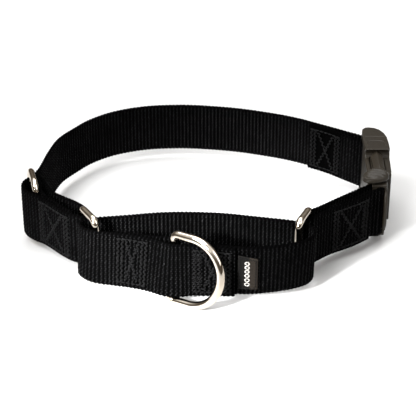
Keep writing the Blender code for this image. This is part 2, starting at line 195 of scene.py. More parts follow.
def neck_strap_route():
    around = [(-81.3, 12.8), (-79.9, 17.4), (-78.7, 24.4), (-77.0, 34.0), (-73.5, 46.8),
              (-66.6, 58.4), (-59.2, 68.0), (-47.5, 77.0), (-31.2, 82.8), (-14.5, 84.4),
              (2.0, 83.0), (18.4, 79.4), (34.6, 74.0), (46.7, 68.5), (58.3, 61.2), (68.6, 54.6)]
    bar = arc(SOCKET_BAR, fold_radius(BUCKLE_BAR_RADIUS), 58, -129, 10)
    sewn = [(72.0, 46.9), (67.0, 51.4), (60.3, 57.4), (51.0, 63.6)]
    return [*upright(around), *bar, *upright(sewn)]


def adjuster_loop_route():
    inner = [(-81.3, 12.8), (-80.9, 11.3), (-77.4, 6.0), (-75.4, 1.0), (-71.4, -6.4),
             (-68.1, -9.8), (-64.1, -12.9), (-60.2, -15.9), (-56.6, -19.6), (-54.6, -22.6)]
    ring = arc(LEFT_RING_STRAP_BAR, fold_radius(RING_WIRE / 2), 8, -134, 8)
    outer = [(-60.7, -27.4), (-63.6, -25.4), (-67.7, -21.3), (-71.8, -16.5), (-76.1, -11.8),
             (-80.9, -8.4), (-84.2, -5.2), (-86.0, -1.8), (-86.5, 1.6), (-85.7, 5.0),
             (-83.5, 7.2), (-80.8, 6.6), (-78.6, 3.4)]
    sewn = [(-77.9, -2.0), (-76.2, -6.8), (-74.2, -11.0), (-70.4, -15.2), (-66.3, -20.0),
            (-62.3, -24.0), (-61.2, -24.9)]
    return [*upright(inner), *ring, *upright(outer), *upright(sewn)]


def buckle_strap_route():
    outer = [(75.0, -7.6, -1), (68.1, -13.4, -1), (61.5, -17.9, -1), (56.1, -21.5, -1),
             (50.3, -26.3, 0)]
    ring = arc(RIGHT_RING_STRAP_BAR, fold_radius(RING_WIRE / 2), -50, -230, 10)
    inner = [(48.8, -21.3, 0), (52.6, -18.1, 1), (60.2, -11.7, 1), (67.4, -5.6, 1), (72.0, -2.1, 0)]
    bar = arc(PLUG_BAR, fold_radius(BUCKLE_BAR_RADIUS), 125, -55, 10)
    sewn = [(77.0, -4.6, -1), (73.8, -6.2, -1), (70.2, -9.2, -1), (66.9, -11.9, -1),
            (60.4, -16.4, -1), (55.0, -20.1, -1)]
    return outer + ring + inner + bar + sewn


def loop_front():
    """The front layer of the control loop, from its cut end to the left ring."""
    return [(11.8, -56.4, -2), (4.0, -55.6, 1), (-4.0, -54.7, 4), (-8.5, -54.5, 6),
            (-12.0, -54.9, 8), (-15.8, -54.9, 10), (-19.2, -53.8, 11), (-22.5, -51.9, 11),
            (-27.0, -49.6, 11), (-34.0, -47.1, 11), (-41.5, -45.3, 11)]


def control_loop_route():
    left = [(-48.4, -44.0, 9), (-52.9, -42.0, 7), (-56.4, -38.7, 5), (-57.6, -35.1, 3),
            (-56.7, -32.4, 2), (-54.0, -30.7, 0), (-50.0, -30.0, 0)]
    back = [(-37.7, -28.3, 0), (-23.4, -25.9, 0), (-9.0, -25.3, 0), (5.4, -26.2, 0),
            (19.7, -28.9, 0), (33.9, -32.0, 0), (40.5, -34.0, 0)]
    right = [(44.5, -36.2, 0), (46.8, -39.6, -1), (46.5, -43.6, -2), (43.8, -47.3, -3),
             (38.4, -50.6, -4), (30.0, -53.4, -4), (20.5, -54.8, -3)]
    inside = [(11.9, -54.5, -2), (4.0, -53.7, 1), (-4.0, -52.7, 4), (-8.5, -51.2, 6),
              (-12.0, -49.5, 8), (-15.8, -48.4, 10), (-19.4, -48.2, 11), (-23.0, -48.2, 11),
              (-27.4, -47.4, 11), (-34.4, -45.2, 11), (-41.8, -43.4, 11)]
    return loop_front() + left + back + right + inside


# ---- node materials -----------------------------------------------------------------------------
def new_material(name):
    made = bpy.data.materials.new(name)
    made.use_nodes = True
    tree = made.node_tree
    tree.nodes.clear()
    out = tree.nodes.new("ShaderNodeOutputMaterial")
    surface = tree.nodes.new("ShaderNodeBsdfPrincipled")
    tree.links.new(surface.outputs[0], out.inputs[0])
    return made, tree, surface


def node(tree, kind, **values):
    """A new node with the values given to its inputs, or to its settings of that name."""
    made = tree.nodes.new(kind)
    for key, value in values.items():
        if key in made.inputs:
            made.inputs[key].default_value = value
        else:
            setattr(made, key, value)
    return made


def stretched_uv(tree, scale):
    """The piece's uv, which is in metres along and across it, times a scale."""
    place = tree.nodes.new("ShaderNodeUVMap")
    stretch = node(tree, "ShaderNodeMapping", Scale=scale)
    tree.links.new(place.outputs[0], stretch.inputs[0])
    return stretch.outputs[0]


def texture(tree, kind, place, **values):
    made = node(tree, kind, **values)
    tree.links.new(place, made.inputs[0])
    return made.outputs["Fac"]


def ramp(tree, source, stops):
    """A colour ramp with (place, colour) stops."""
    made = tree.nodes.new("ShaderNodeValToRGB")
    elements = made.color_ramp.elements
    while len(elements) < len(stops):
        elements.new(0.5)
    for element, (place, colour) in zip(elements, stops):
        element.position = place
        element.color = (*colour, 1)
    tree.links.new(source, made.inputs[0])
    return made.outputs[0]


def maths(tree, operation, a, b):
    """A Math node on two values, each a number or an output."""
    made = node(tree, "ShaderNodeMath", operation=operation)
    for i, value in enumerate((a, b)):
        if hasattr(value, "links"):
            tree.links.new(value, made.inputs[i])
        else:
            made.inputs[i].default_value = value
    return made.outputs[0]


def weighted(tree, source, weight):
    return maths(tree, "MULTIPLY", source, weight)


def rough_between(tree, surface, source, *stops):
    """Roughness from a ramp of (place, roughness) stops."""
    made = ramp(tree, source, [(place, (value,) * 3) for place, value in stops])
    tree.links.new(made, surface.inputs["Roughness"])


def bumpy(tree, surface, height, strength, distance):
    bump = node(tree, "ShaderNodeBump", Strength=strength, Distance=distance)
    tree.links.new(height, bump.inputs["Height"])
    tree.links.new(bump.outputs[0], surface.inputs["Normal"])


def webbing_material():
    """Black nylon: fine warp fibres and random patches of tone, with painted shade in the grooves
    and painted highlights on the rib tops, both driven by the relief.
    """
    made, tree, surface = new_material("black_nylon_webbing")
    fibres = texture(tree, "ShaderNodeTexNoise", stretched_uv(tree, (1400, 9000, 1)),
                     Scale=1.0, Detail=3.0)
    where = tree.nodes.new("ShaderNodeTexCoord").outputs["Object"]
    patches = texture(tree, "ShaderNodeTexNoise", where, Scale=55.0, Detail=4.0)
    relief = node(tree, "ShaderNodeAttribute", attribute_name="relief").outputs["Fac"]
    shade = maths(tree, "ADD", weighted(tree, relief, 0.72), weighted(tree, fibres, 0.20))
    shade = maths(tree, "ADD", shade, weighted(tree, patches, 0.14))
    # The ramp paints shade and highlight: near black where the relief is low in the grooves, and a
    # painted highlight where it is high on the rib tops
    colour = ramp(tree, shade, [(0.30, (0.0001, 0.0001, 0.0001)), (0.62, (0.0006, 0.0006, 0.0007)),
                                (0.95, (0.0420, 0.0420, 0.0433))])
    tree.links.new(colour, surface.inputs["Base Color"])
    rough_between(tree, surface, relief, (0.50, 0.95), (0.95, 0.40))
    surface.inputs["Specular IOR Level"].default_value = 0.020
    bumpy(tree, surface, fibres, 0.5, 0.00012)
    return made


def thread_material(name, dark, light):
    """Bonded thread: a tight twist along each stitch."""
    made, tree, surface = new_material(name)
    twist = texture(tree, "ShaderNodeTexWave", stretched_uv(tree, (2600, 2600, 1)),
                    Scale=1.0, Distortion=0.6, Detail=1.0, bands_direction="DIAGONAL")
    colour = ramp(tree, twist, [(0.2, dark), (0.9, light)])
    tree.links.new(colour, surface.inputs["Base Color"])
    rough_between(tree, surface, twist, (0.0, 0.70), (1.0, 0.48))
    surface.inputs["Specular IOR Level"].default_value = 0.05
    bumpy(tree, surface, twist, 0.5, 0.00008)
    return made


def nickel_material():
    """Warm nickel plate with faint draw lines and a little tarnish."""
    made, tree, surface = new_material("nickel_plate")
    where = tree.nodes.new("ShaderNodeTexCoord").outputs["Object"]
    cloud = texture(tree, "ShaderNodeTexNoise", where, Scale=140.0, Detail=5.0)
    lines = texture(tree, "ShaderNodeTexNoise", stretched_uv(tree, (300, 9000, 1)),
                    Scale=1.0, Detail=2.0)
    colour = ramp(tree, cloud, [(0.35, (0.60, 0.53, 0.44)), (0.6, (0.75, 0.68, 0.59))])
    tree.links.new(colour, surface.inputs["Base Color"])
    surface.inputs["Metallic"].default_value = 1.0
    mixed = maths(tree, "ADD", weighted(tree, cloud, 0.08), weighted(tree, lines, 0.08))
    tree.links.new(mixed, surface.inputs["Roughness"])
    bumpy(tree, surface, lines, 0.12, 0.00004)
    return made


def plastic_material():
    """Moulded dark grey acetal: a fine spark-eroded grain and paler rubbed edges."""
    made, tree, surface = new_material("moulded_acetal")
    where = tree.nodes.new("ShaderNodeTexCoord").outputs["Object"]
    grain = texture(tree, "ShaderNodeTexNoise", where, Scale=2600.0, Detail=3.0)
    cloud = texture(tree, "ShaderNodeTexNoise", where, Scale=90.0, Detail=4.0)
    about = tree.nodes.new("ShaderNodeNewGeometry")
    edges = ramp(tree, about.outputs["Pointiness"], [(0.50, (0, 0, 0)), (0.56, (1, 1, 1))])
    mixed = maths(tree, "ADD", weighted(tree, cloud, 0.5), weighted(tree, edges, 0.35))
    colour = ramp(tree, mixed, [(0.1, (0.0110, 0.0088, 0.0060)), (0.45, (0.0170, 0.0137, 0.0095)),
                                (0.9, (0.0330, 0.0275, 0.0200))])
    tree.links.new(colour, surface.inputs["Base Color"])
    rough_between(tree, surface, cloud, (0.3, 0.50), (0.7, 0.38))
    surface.inputs["Specular IOR Level"].default_value = 0.20
    bumpy(tree, surface, grain, 0.25, 0.00005)
    return made


def label_material():
    """A tightly woven tag: fine cross threads, with a paler band down its right side."""
    made, tree, surface = new_material("woven_label")
    stretch = stretched_uv(tree, (3200, 3200, 1))
    weave = texture(tree, "ShaderNodeTexChecker", stretch, Scale=1.0)
    noise = texture(tree, "ShaderNodeTexNoise", stretch, Scale=0.4, Detail=3.0)
    mixed = maths(tree, "ADD", weighted(tree, weave, 0.35), noise)
    dark = ramp(tree, mixed, [(0.3, (0.0015, 0.0015, 0.0013)), (1.0, (0.007, 0.0065, 0.006))])
    pale = ramp(tree, mixed, [(0.3, (0.0070, 0.0056, 0.0044)), (1.0, (0.0230, 0.0188, 0.0150))])
    place = tree.nodes.new("ShaderNodeUVMap")
    parts = tree.nodes.new("ShaderNodeSeparateXYZ")
    tree.links.new(place.outputs[0], parts.inputs[0])
    halves = node(tree, "ShaderNodeMix", data_type="RGBA")
    tree.links.new(maths(tree, "GREATER_THAN", parts.outputs[0], 0.0006), halves.inputs[0])
    tree.links.new(dark, halves.inputs[6])
    tree.links.new(pale, halves.inputs[7])
    tree.links.new(halves.outputs[2], surface.inputs["Base Color"])
    surface.inputs["Roughness"].default_value = 0.75
    surface.inputs["Specular IOR Level"].default_value = 0.08
    bumpy(tree, surface, mixed, 0.4, 0.0001)
    return made


# ---- meshes -------------------------------------------------------------------------------------
def mesh_object(name, points, faces, finish, uv, relief=None):
    """A smooth mesh from points in metres; uv has one pair a point, in metres along and across."""
    data = bpy.data.meshes.new(name)
    faces = np.asarray(faces, np.int32)
    data.vertices.add(len(points))
    data.vertices.foreach_set("co", np.asarray(points, np.float32).ravel())
    data.loops.add(faces.size)
    data.loops.foreach_set("vertex_index", faces.ravel())
    data.polygons.add(len(faces))
    starts = np.arange(len(faces), dtype=np.int32) * faces.shape[1]
    data.polygons.foreach_set("loop_start", starts)
    data.update(calc_edges=True)
    data.polygons.foreach_set("use_smooth", np.ones(len(faces), bool))
    layer = data.uv_layers.new(name="UVMap")
    layer.data.foreach_set("uv", np.asarray(uv, np.float32)[faces.ravel()].ravel())
    if relief is not None:
        attribute = data.attributes.new("relief", "FLOAT", "POINT")
        attribute.data.foreach_set("value", np.asarray(relief, np.float32))
    data.validate()
    data.materials.append(finish)
    made = bpy.data.objects.new(name, data)
    bpy.context.scene.collection.objects.link(made)
    return made


def close_ends(made, caps):
    """Adds groups of faces, each a list of point numbers, and turns all faces outwards."""
    edit = bmesh.new()
    edit.from_mesh(made.data)
    edit.verts.ensure_lookup_table()
    for group in caps:
        for corners in group:
            edit.faces.new([edit.verts[int(i)] for i in corners])
    bmesh.ops.recalc_face_normals(edit, faces=edit.faces)
    edit.to_mesh(made.data)
    edit.free()


def cap_holes(made):
    """Closes the open rims of a mesh and turns all faces outwards."""
    edit = bmesh.new()
    edit.from_mesh(made.data)
    rims = [edge for edge in edit.edges if edge.is_boundary]
    bmesh.ops.holes_fill(edit, edges=rims, sides=0)
    bmesh.ops.recalc_face_normals(edit, faces=edit.faces)
    edit.to_mesh(made.data)
    edit.free()


def round_angles(sides):
    return np.linspace(0, 2 * math.pi, sides, endpoint=False)


def frames_of(route):
    """Each station's outward (right-hand) and upward unit vectors, leaning with the route."""
    along = np.gradient(route[:, :2], axis=0)
    along /= np.linalg.norm(along, axis=1)[:, None]
    lean = np.radians(route[:, 2])
    right = np.stack([along[:, 1], -along[:, 0]], 1)
    out = np.column_stack([right * np.cos(lean)[:, None], -np.sin(lean)])
    up = np.column_stack([right * np.sin(lean)[:, None], np.cos(lean)])
    return out, up


def weave_height(run, across, face, rng):
    """The relief of one face from 0 in the grooves to 1 on top of the ribs."""
    bead = np.clip(np.floor((across + 1) / 2 * BEADS), 0, BEADS - 1).astype(int)
    stagger = STAGGER * np.where(bead % 2 == 0, 1.0, -1.0)
    phase = run[:, None] / RIB + 0.5 * face + stagger[None, :]
    rib = 1 - np.abs(np.cos(np.pi * phase)) ** RIB_POWER
    within = ((across + 1) / 2 * BEADS) % 1
    bulge = (1 - BEAD_DEPTH) + BEAD_DEPTH * np.sin(np.pi * within) ** BEAD_POWER
    ribs = np.clip(np.floor(phase).astype(int), 0, None)
    uneven = 1 + UNEVENNESS * rng.standard_normal((ribs.max() + 1, BEADS))
    uneven = uneven[ribs, bead[None, :].repeat(len(run), 0)]
    return np.clip(rib * bulge[None, :] * uneven, 0, HIGHEST)


def end_caps(index, columns):
    """The faces that close a strip's two cut ends; index numbers its rings of points."""
    caps = []
    for row, turn in ((0, 1), (len(index) - 1, -1)):
        front = index[row, :columns]
        back = np.concatenate([[index[row, 0]], index[row, :columns - 1:-1],
                               [index[row, columns - 1]]])
        quads = np.stack([front[:-1], back[:-1], back[1:], front[1:]], 1)
        caps.append(quads[:, ::turn][1:-1])
        tips = []
        for i in (0, columns - 2):
            corner = list(dict.fromkeys([front[i], back[i], back[i + 1], front[i + 1]]))
            tips.append(corner if turn == 1 else corner[::-1])
        caps.append(tips)
    return caps


def webbing(name, route, seed, dents=()):
    """A strip of ribbed webbing on edge along a route, closed at both cut ends."""
    rng = np.random.default_rng(seed)
    route = smooth(route, RIB / STEPS_A_RIB)
    run = plan_run(route)
    out, up = frames_of(route)
    middle = np.array([at(x, y) for x, y, _ in route])
    half = WIDTH / 2
    across = np.linspace(-1, 1, BEADS * STEPS_A_BEAD + 1)
    flat = np.ones((len(run), 1))
    for start, end in dents:
        inside = (1 / (1 + np.exp(-(run - start) / DENT_EDGE))
                  / (1 + np.exp((run - end) / DENT_EDGE)))
        flat[:, 0] -= DENT_SHARE * inside
    rounding = np.clip((1 - np.abs(across)) * half / EDGE_ROUNDING, 0, 1)
    rounding = np.sqrt(1 - (1 - rounding) ** 2)
    edge_wave = SELVEDGE_BUMP * np.abs(np.sin(np.pi * run / RIB)) - SELVEDGE_INSET
    cupping = 0.10 * np.sin(run / 9.0 + seed) + 0.07 * np.sin(run / 4.1 + 2 * seed)
    reach = half + edge_wave[:, None] * np.abs(across[None, :]) ** 8
    sheets, reliefs = [], []
    for face in (1, -1):
        relief = weave_height(run, across, (1 - face) / 2, rng)
        thick = CORE * rounding[None, :] + RELIEF * relief * rounding[None, :] * flat
        side = face * thick + cupping[:, None] * (across[None, :] ** 2 - 0.3)
        sheets.append(middle[:, None] + MM * (out[:, None] * side[..., None]
                      + up[:, None] * (across[None, :] * reach)[..., None]))
        reliefs.append(relief * rounding[None, :] * flat)
    ring = np.concatenate([sheets[0], sheets[1][:, -2:0:-1]], axis=1)
    # The relief is kept on the points; the webbing's material paints shade into the grooves and
    # highlights onto the rib tops from it
    relief_for_painted_light = np.concatenate([reliefs[0], reliefs[1][:, -2:0:-1]], axis=1)
    n, m = ring.shape[:2]
    index = np.arange(n * m).reshape(n, m)
    beside = np.roll(index, -1, axis=1)
    walls = np.stack([index[:-1], beside[:-1], beside[1:], index[1:]], -1).reshape(-1, 4)
    v = np.concatenate([across, across[-2:0:-1]]) * half * MM
    uv = np.stack([np.repeat(run * MM, m), np.tile(v, n)], 1)
    made = mesh_object(name, ring.reshape(-1, 3), walls, NYLON, uv, relief_for_painted_light.ravel())
    close_ends(made, end_caps(index, len(across)))
    return made


def tube(name, points, radius, finish, closed=True, sides=20):
    """A round wire through even points in metres, with uv along and round it."""
    points = np.asarray(points, float)
    ahead, behind = np.roll(points, -1, 0), np.roll(points, 1, 0)
    if not closed:
        ahead[-1], behind[0] = points[-1], points[0]
    along = ahead - behind
    along /= np.linalg.norm(along, axis=1)[:, None]
    if closed:
        normal = np.cross(along, np.linalg.svd(points - points.mean(0))[2][2])
    else:
        normal = np.cross(along, (0.0, 0.0, 1.0))
        upright_run = np.linalg.norm(normal, axis=1) < 1e-3
        normal = np.where(upright_run[:, None], (1.0, 0, 0), normal)
    normal /= np.linalg.norm(normal, axis=1)[:, None]
    other = np.cross(along, normal)
    angle = round_angles(sides)
    ring = (points[:, None] + radius * (normal[:, None] * np.cos(angle)[None, :, None]
            + other[:, None] * np.sin(angle)[None, :, None]))
    n = len(points)
    index = np.arange(n * sides).reshape(n, sides)
    beyond = np.roll(index, -1, 0) if closed else index[1:]
    here = index if closed else index[:-1]
    walls = np.stack([here, np.roll(here, -1, 1), np.roll(beyond, -1, 1), beyond], -1)
    uv = np.stack([np.repeat(run_of(points), sides), np.tile(angle * radius, n)], 1)
    made = mesh_object(name, ring.reshape(-1, 3), walls.reshape(-1, 4), finish, uv)
    if not closed:
        cap_holes(made)
    return made


def ring_outline(half_width, half_height, corner, steps=40):
    """A rectangle with rounded corners, as (across, up) pairs."""
    pairs = []
    for quarter, (sx, sz) in enumerate([(1, -1), (1, 1), (-1, 1), (-1, -1)]):
        for i in range(steps + 1):
            angle = math.radians(-90 + 90 * quarter + 90 * i / steps)
            pairs.append((sx * (half_width - corner) + corner * math.cos(angle),
                          sz * (half_height - corner) + corner * math.sin(angle)))
    return pairs


def upright_ring(name, bar_a, bar_b, diameter, corner):
    """A rectangular wire ring standing on edge, with upright bars at two plan positions."""
    a, b = Vector(bar_a), Vector(bar_b)
    middle, across = (a + b) / 2, (b - a).normalized()
    outline = ring_outline((b - a).length / 2, HALF_HEIGHT - diameter / 2, corner)
    points = [at(*(middle + across * u), v) for u, v in even_loop(outline, 0.5)]
    return tube(name, points, diameter / 2 * MM, NICKEL)


def d_ring_points():
    """The middle of the D-ring's wire, turned out from the webbing, leaning back and tilted."""
    half, depth = D_RING_HALF_HEIGHT - D_RING_WIRE / 2, D_RING_DEPTH - D_RING_WIRE
    corner = arc((D_RING_CORNER, half - D_RING_CORNER), D_RING_CORNER, 180, 92, 30)
    bow = arc((depth - half, 0), half, 90, -90, 240)
    outline = [(x, z) for x, z, _ in [*corner, *bow]] + [(x, -z) for x, z, _ in reversed(corner)]
    turn = (Matrix.Rotation(math.radians(D_RING_TILT), 3, "Y")
            @ Matrix.Rotation(math.radians(-D_RING_LEAN), 3, "X")
            @ Matrix.Rotation(math.radians(-D_RING_SWING), 3, "Z"))
    points = []
    for out, up in even_loop(outline, 0.45):
        x, y, z = turn @ Vector((out, 0, up))
        points.append(at(D_RING_BAR[0] + x, D_RING_BAR[1] + y, z))
    return points


def threads(name, spot, lines, finish, length=2.6, radius=0.36, lift=0.36):
    """Rows of separate raised stitches; spot(u, v, off) turns millimetres on cloth into metres."""
    points, faces, uv = [], [], []
    angle = round_angles(THREAD_SIDES)
    for (u0, v0), (u1, v1) in lines:
        reach = math.hypot(u1 - u0, v1 - v0)
        count = max(1, round(reach / length))
        for k in range(count):
            middle, swell = [], []
            for i in range(STITCH_STEPS + 1):
                t = i / STITCH_STEPS
                share = (k + STITCH_GAP + (1 - 2 * STITCH_GAP) * t) / count
                rise = math.sin(math.pi * t)
                middle.append(spot(u0 + (u1 - u0) * share, v0 + (v1 - v0) * share,
                                   lift * rise ** 0.6 - STITCH_SINK))
                swell.append(radius * (0.35 + 0.65 * rise ** 0.35 if rise > 0 else 0.35))
            middle = np.array(middle)
            along = np.gradient(middle, axis=0)
            along /= np.linalg.norm(along, axis=1)[:, None]
            up = np.array(spot(u0, v0, 1.0)) - np.array(spot(u0, v0, 0.0))
            across = np.cross(along, up / np.linalg.norm(up))
            across /= np.linalg.norm(across, axis=1)[:, None]
            other = np.cross(across, along)
            ring = middle[:, None] + MM * np.array(swell)[:, None, None] * (
                across[:, None] * np.cos(angle)[None, :, None]
                + other[:, None] * np.sin(angle)[None, :, None])
            index = (len(points) + np.arange((STITCH_STEPS + 1) * THREAD_SIDES)
                     .reshape(STITCH_STEPS + 1, THREAD_SIDES))
            points.extend(ring.reshape(-1, 3))
            run = np.linspace(0, reach / count * MM, STITCH_STEPS + 1)
            uv.extend(np.stack([np.repeat(run, THREAD_SIDES),
                                np.tile(angle * radius * MM, STITCH_STEPS + 1)], 1))
            beside = np.roll(index, -1, 1)
            walls = np.stack([index[:-1], index[1:], beside[1:], beside[:-1]], -1)
            faces.extend(walls.reshape(-1, 4))
            for row, turn in ((index[0], 1), (index[-1], -1)):
                for quad in ((0, 1, 2, 3), (0, 3, 4, 7), (4, 5, 6, 7)):
                    faces.append(row[list(quad)[::turn]])
    return mesh_object(name, points, np.array(faces), finish, np.array(uv))


def on_layer(route):
    """spot() for threads on a layer's left-hand face, and the length along it at a plan x.

    u runs along the layer in millimetres, v up from its middle, and rise out from its face.
    """
    route = smooth(route, 0.25)
    run = plan_run(route)
    out, up = frames_of(route)
    middle = np.array([at(x, y) for x, y, _ in route])

    def spot(u, v, rise):
        here, outward, upward = (np.array([np.interp(u, run, values[:, k]) for k in range(3)])
                                 for values in (middle, out, up))
        return here + MM * (-1 * (FACE + rise) * outward + v * upward)

    def length_at(x):
        return run[np.abs(route[:, 0] - x).argmin()]

    return spot, length_at


def zigzag(start, end, swing=0.85, pitch=1.15):
    """Stitches to and fro across a line, for a bar tack."""
    (u0, v0), (u1, v1) = start, end
    length = math.hypot(u1 - u0, v1 - v0)
    side_u, side_v = -(v1 - v0) / length * swing, (u1 - u0) / length * swing
    count = max(2, round(length / pitch))
    spots = []
    for k in range(count + 1):
        hand = 1 if k % 2 else -1
        spots.append((u0 + (u1 - u0) * k / count + side_u * hand,
                      v0 + (v1 - v0) * k / count + side_v * hand))
    return list(zip(spots, spots[1:]))


def box_pattern(start, end):
    """A box of bar tacks with doubled ends and crossed diagonals."""
    sign, top = (1 if end > start else -1), TACK_REACH
    lines = [((start, -top), (end, -top)), ((start, top), (end, top))]
    for u in (start + sign * TACK_OUTER, start + sign * TACK_INNER,
              end - sign * TACK_INNER, end - sign * TACK_OUTER):
        lines += zigzag((u, -top), (u, top))
    inner, outer = start + sign * CROSS_INSET, end - sign * CROSS_INSET
    lines += zigzag((inner, -top + 1), (outer, top - 1))
    lines += zigzag((inner, top - 1), (outer, -top + 1))
    return lines


def label_spot(u, v, off):
    """A place on the tag: across it, up its height and out from its middle, in millimetres."""
    tip = math.radians(LABEL_LEAN)
    # The top edge falls away to the right, and the cloth waves a little
    v = v - 0.20 * (u + LABEL_WIDTH / 2) * (v > 0) * v / (LABEL_HEIGHT / 2)
    off = off + 0.16 * math.sin(0.55 * u + 0.4) + 0.10 * math.sin(0.31 * v + 1.0)
    x, y = LABEL_MIDDLE
    return np.array(at(x + u, y - off * math.cos(tip) - v * math.sin(tip),
                       v * math.cos(tip) - off * math.sin(tip)))


def woven_tag(name, columns=40, rows=72, rounding=0.45):
    """The tag's cloth: two sheets that meet along rounded edges."""
    width, height = LABEL_WIDTH, LABEL_HEIGHT
    across = np.linspace(-width / 2, width / 2, columns + 1)
    upward = np.linspace(-height / 2, height / 2, rows + 1)
    sheets = []
    for side in (1, -1):
        sheet = []
        for v in upward:
            for u in across:
                edge = min(width / 2 - abs(u), height / 2 - abs(v)) / rounding
                round_off = math.sqrt(max(0.0, 1 - (1 - min(edge, 1.0)) ** 2))
                sheet.append(label_spot(u, v, side * LABEL_THICK / 2 * round_off))
        sheets.append(np.array(sheet))
    n = (rows + 1) * (columns + 1)
    front = np.arange(n).reshape(rows + 1, columns + 1)
    back = front + n
    for line in ((0, slice(None)), (-1, slice(None)), (slice(None), 0), (slice(None), -1)):
        back[line] = front[line]
    faces = np.concatenate([
        np.stack([front[:-1, :-1], front[:-1, 1:], front[1:, 1:], front[1:, :-1]], -1),
        np.stack([back[:-1, :-1], back[1:, :-1], back[1:, 1:], back[:-1, 1:]], -1)]).reshape(-1, 4)
    used = np.unique(faces)
    renumber = np.full(2 * n, -1)
    renumber[used] = np.arange(len(used))
    uv = np.stack(np.meshgrid(across * MM, upward * MM), -1).reshape(-1, 2)
    return mesh_object(name, np.concatenate(sheets)[used], renumber[faces], WOVEN,
                       np.concatenate([uv, uv])[used])


def rounded_plate(x, y, z):
    """Rounds the near ends of the plug's plate towards the middle."""
    near = min(1.0, max(0.0, (3.0 - y) / 7.0))
    return x - 0.5 * near ** 2, y, z * (1 - 0.10 * near ** 2)


def shorter_pad(x, y, z):
    """Sets the lower pad's near edge back."""
    if y > 3 or z > -PAD_BASE + 0.5:
        return x, y, z
    return min(x, 81.6), 3 + 0.10 * (y - 3), z


def soft_edged(name, cad_node, shape):
    """The CAD piece's own shape with its edges rounded over as a moulding's are."""
    made = bpy.data.objects.new(name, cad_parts[cad_node].data.copy())
    if shape:
        for vertex in made.data.vertices:
            x, y, z = vertex.co / MM + Vector((MIDDLE_X, MIDDLE_Y, -HALF_HEIGHT))
            vertex.co = at(*shape(x, y, z))
    bpy.context.scene.collection.objects.link(made)
    made.data.materials.clear()
    made.data.materials.append(PLASTIC)
    grid = made.modifiers.new("grid", "REMESH")
    grid.mode = "VOXEL"
    grid.voxel_size = PLASTIC_VOXEL * MM
    grid.use_smooth_shade = True
    relax = made.modifiers.new("relax", "SMOOTH")
    relax.factor = 0.5
    relax.iterations = PLASTIC_PASSES
    return made


def thumb_pad(name, rows=26):
    """The domed, ribbed pad on the upper prong, where a finger squeezes it."""
    pad = [(71.8, -0.6), (73.6, -2.8), (77.5, -3.0), (82.0, -1.4), (84.3, 1.6), (84.0, 5.4),
           (81.6, 8.4), (78.0, 8.8), (75.0, 6.8), (72.4, 3.0)]
    # The curve runs past its start at both ends, and one turn of it is kept
    loop = smooth(upright([*pad[-2:], *pad, *pad[:2]]), 0.4)
    first = np.hypot(loop[:, 0] - pad[0][0], loop[:, 1] - pad[0][1])
    starts = np.flatnonzero(first < 0.3)
    loop = loop[starts[0]:starts[-1], :2]
    centre = loop.mean(0)
    points = []
    for k in range(rows + 1):
        share = 1 - k / (rows + 1)
        for place in loop:
            px, py = centre + (place - centre) * share
            dome = (PAD_DOME * (1 - share ** 4) ** 0.5
                    - 0.05 * max(0.0, PAD_FALL_START - px) ** 1.3)
            ribs = (PAD_RIDGE * max(0.0, 1 - (share / 0.80) ** 8)
                    * math.cos(2 * math.pi * (px * 0.35 + py) / PAD_RIDGE_PITCH))
            points.append(at(px, py, PAD_BASE + PAD_RISE + dome + ribs))
    points.extend(at(x, y, PAD_BASE) for x, y in loop)
    index = np.arange(len(points)).reshape(rows + 2, len(loop))
    order = [rows + 1, *range(rows + 1)]
    faces = [np.stack([index[a], np.roll(index[a], -1), np.roll(index[b], -1), index[b]], -1)
             for a, b in zip(order, order[1:])]
    made = mesh_object(name, points, np.concatenate(faces), PLASTIC, [(p[0], p[1]) for p in points])
    cap_holes(made)
    return made


def pointed_tip(name, side):
    """The pointed end of a prong with a ridge down its middle."""
    left, right, middle = 78.0, 84.0, 81.0
    low, eaves, ridge = 11.2, 13.9, 15.5
    rows = [(11.0, 0.86), (16.0, 0.90), (21.0, 0.95), (25.5, 1.0), (27.6, 0.74), (29.6, 0.40),
            (31.0, 0.10)]
    points = []
    for y, share in rows:
        half = (right - left) / 2 * share
        for x, z in ((middle - half, low), (middle - half, eaves), (middle, ridge),
                     (middle + half, eaves), (middle + half, low)):
            points.append(at(x, y, side * z))
    index = np.arange(len(points)).reshape(len(rows), 5)
    beside = np.roll(index, -1, 1)
    faces = np.stack([index[:-1], beside[:-1], beside[1:], index[1:]], -1).reshape(-1, 4)
    made = mesh_object(name, points, faces, PLASTIC, [(p[0], p[1]) for p in points])
    cap_holes(made)
    edges = made.modifiers.new("edges", "BEVEL")
    edges.width = 0.5 * MM
    edges.segments = 3
    return made


# ---- webbing ------------------------------------------------------------------------------------
NYLON, NICKEL = webbing_material(), nickel_material()
PLASTIC, WOVEN = plastic_material(), label_material()
THREAD = thread_material("black_bonded_thread", (0.0003, 0.0003, 0.0003), (0.0110, 0.0110, 0.0114))
MARKS = thread_material("off_white_thread", (0.30, 0.29, 0.27), (0.58, 0.56, 0.52))

# Only the end of the neck strip, under its stitches, is pressed: between two lengths along its
# route. The adjuster's strip crosses a joint, so it rides on no single body and is left unparented,
# with its placement baked into its points.
strips = (
    ("neck_webbing", neck_strap_route(), "neck_strap", "neck", 1, ((240, 262),)),
    ("adjuster_webbing", adjuster_loop_route(), "adjuster_loop", None, 2, ()),
    ("control_webbing", control_loop_route(), "control_loop", "loop", 3, ()),
    ("buckle_webbing", buckle_strap_route(), "buckle_strap", "strap", 4, ()),
)
for name, route, cad_node, body, seed, dents in strips:
    strip = webbing(name, route, seed, dents)
    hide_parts(cad_node)
    if body:
        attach(strip, body)
    else:
        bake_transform(strip)

